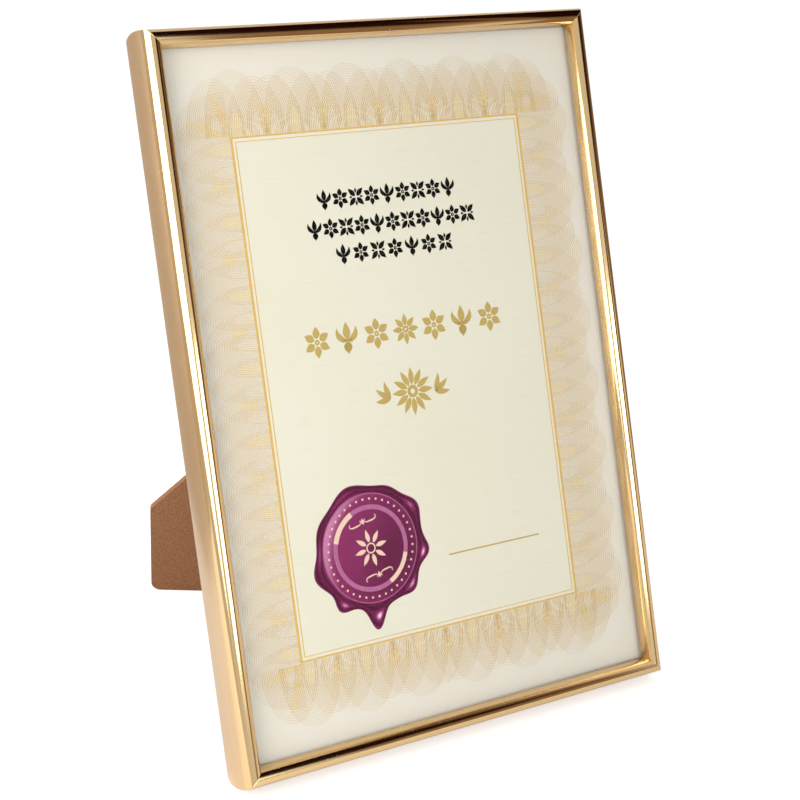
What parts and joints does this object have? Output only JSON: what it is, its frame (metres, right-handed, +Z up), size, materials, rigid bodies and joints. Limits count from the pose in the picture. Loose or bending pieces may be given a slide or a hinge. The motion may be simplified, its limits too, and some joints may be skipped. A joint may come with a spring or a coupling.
{
  "type": "certificate frame",
  "caption": "Slim gold portrait picture frame with a glazed certificate, turn-button back, diagonal folding strut and hanging loops.",
  "frame": {"origin": "bottom centre of the bounding box as the frame stands on its strut, on the surface it stands on", "axes": "+Z up, -Y the way the glass faces, +X to the right for someone who looks at the glass; the pane leans back from +Z by 22.6 degrees about X"},
  "size_m": [0.2204, 0.1782, 0.2891],
  "materials": {
    "gold_moulding": "gold foil, polished on the front bead and brushed satin along the outer side",
    "clear_pane": "clear, polished",
    "printed_sheet": "matte certificate paper with a printed ornamental border",
    "fibreboard": "raw medium-density fibreboard",
    "plated_steel": "zinc-plated, satin",
    "bright_steel": "bright, smooth"
  },
  "bodies": {
    "frame": {"top_rail": "gold_moulding", "bottom_rail": "gold_moulding", "left_rail": "gold_moulding", "right_rail": "gold_moulding", "corner_nails": "bright_steel", "glass_pane": "clear_pane", "certificate_sheet": "printed_sheet", "backing_board": "fibreboard", "button_rivets": "bright_steel", "hinge_board_leaf": "plated_steel", "hinge_pin": "bright_steel", "board_leaf_rivets": "bright_steel", "portrait_hanger": "plated_steel", "landscape_hanger": "plated_steel", "hanger_rivets": "bright_steel"},
    "strut": {"strut": "fibreboard", "hinge_strut_leaf": "plated_steel", "strut_leaf_rivets": "bright_steel"},
    "button_top": {"turn_button_top": "plated_steel"},
    "button_bottom": {"turn_button_bottom": "plated_steel"},
    "button_left_upper": {"turn_button_left_upper": "plated_steel"},
    "button_left_lower": {"turn_button_left_lower": "plated_steel"},
    "button_right_upper": {"turn_button_right_upper": "plated_steel"},
    "button_right_lower": {"turn_button_right_lower": "plated_steel"}
  },
  "joints": [
    {"name": "strut_hinge", "type": "hinge", "parent": "frame", "child": "strut", "pos_m": [0.01485, -0.01015, 0.16193], "axis": [0.8165, -0.2215, -0.5332], "range_deg": [-48.5, 0]},
    {"name": "button_top_turn", "type": "hinge", "parent": "frame", "child": "button_top", "pos_m": [0, 0.03224, 0.27168], "axis": [0, 0.9235, -0.3836], "range_deg": [-90, 90]},
    {"name": "button_bottom_turn", "type": "hinge", "parent": "frame", "child": "button_bottom", "pos_m": [0, -0.07364, 0.0168], "axis": [0, 0.9235, -0.3836], "range_deg": [-90, 90]},
    {"name": "button_left_upper_turn", "type": "hinge", "parent": "frame", "child": "button_left_upper", "pos_m": [-0.0945, 0.00209, 0.19909], "axis": [0, 0.9235, -0.3836], "range_deg": [-90, 90]},
    {"name": "button_left_lower_turn", "type": "hinge", "parent": "frame", "child": "button_left_lower", "pos_m": [-0.0945, -0.04349, 0.08938], "axis": [0, 0.9235, -0.3836], "range_deg": [-90, 90]},
    {"name": "button_right_upper_turn", "type": "hinge", "parent": "frame", "child": "button_right_upper", "pos_m": [0.0945, 0.00209, 0.19909], "axis": [0, 0.9235, -0.3836], "range_deg": [-90, 90]},
    {"name": "button_right_lower_turn", "type": "hinge", "parent": "frame", "child": "button_right_lower", "pos_m": [0.0945, -0.04349, 0.08938], "axis": [0, 0.9235, -0.3836], "range_deg": [-90, 90]}
  ]
}
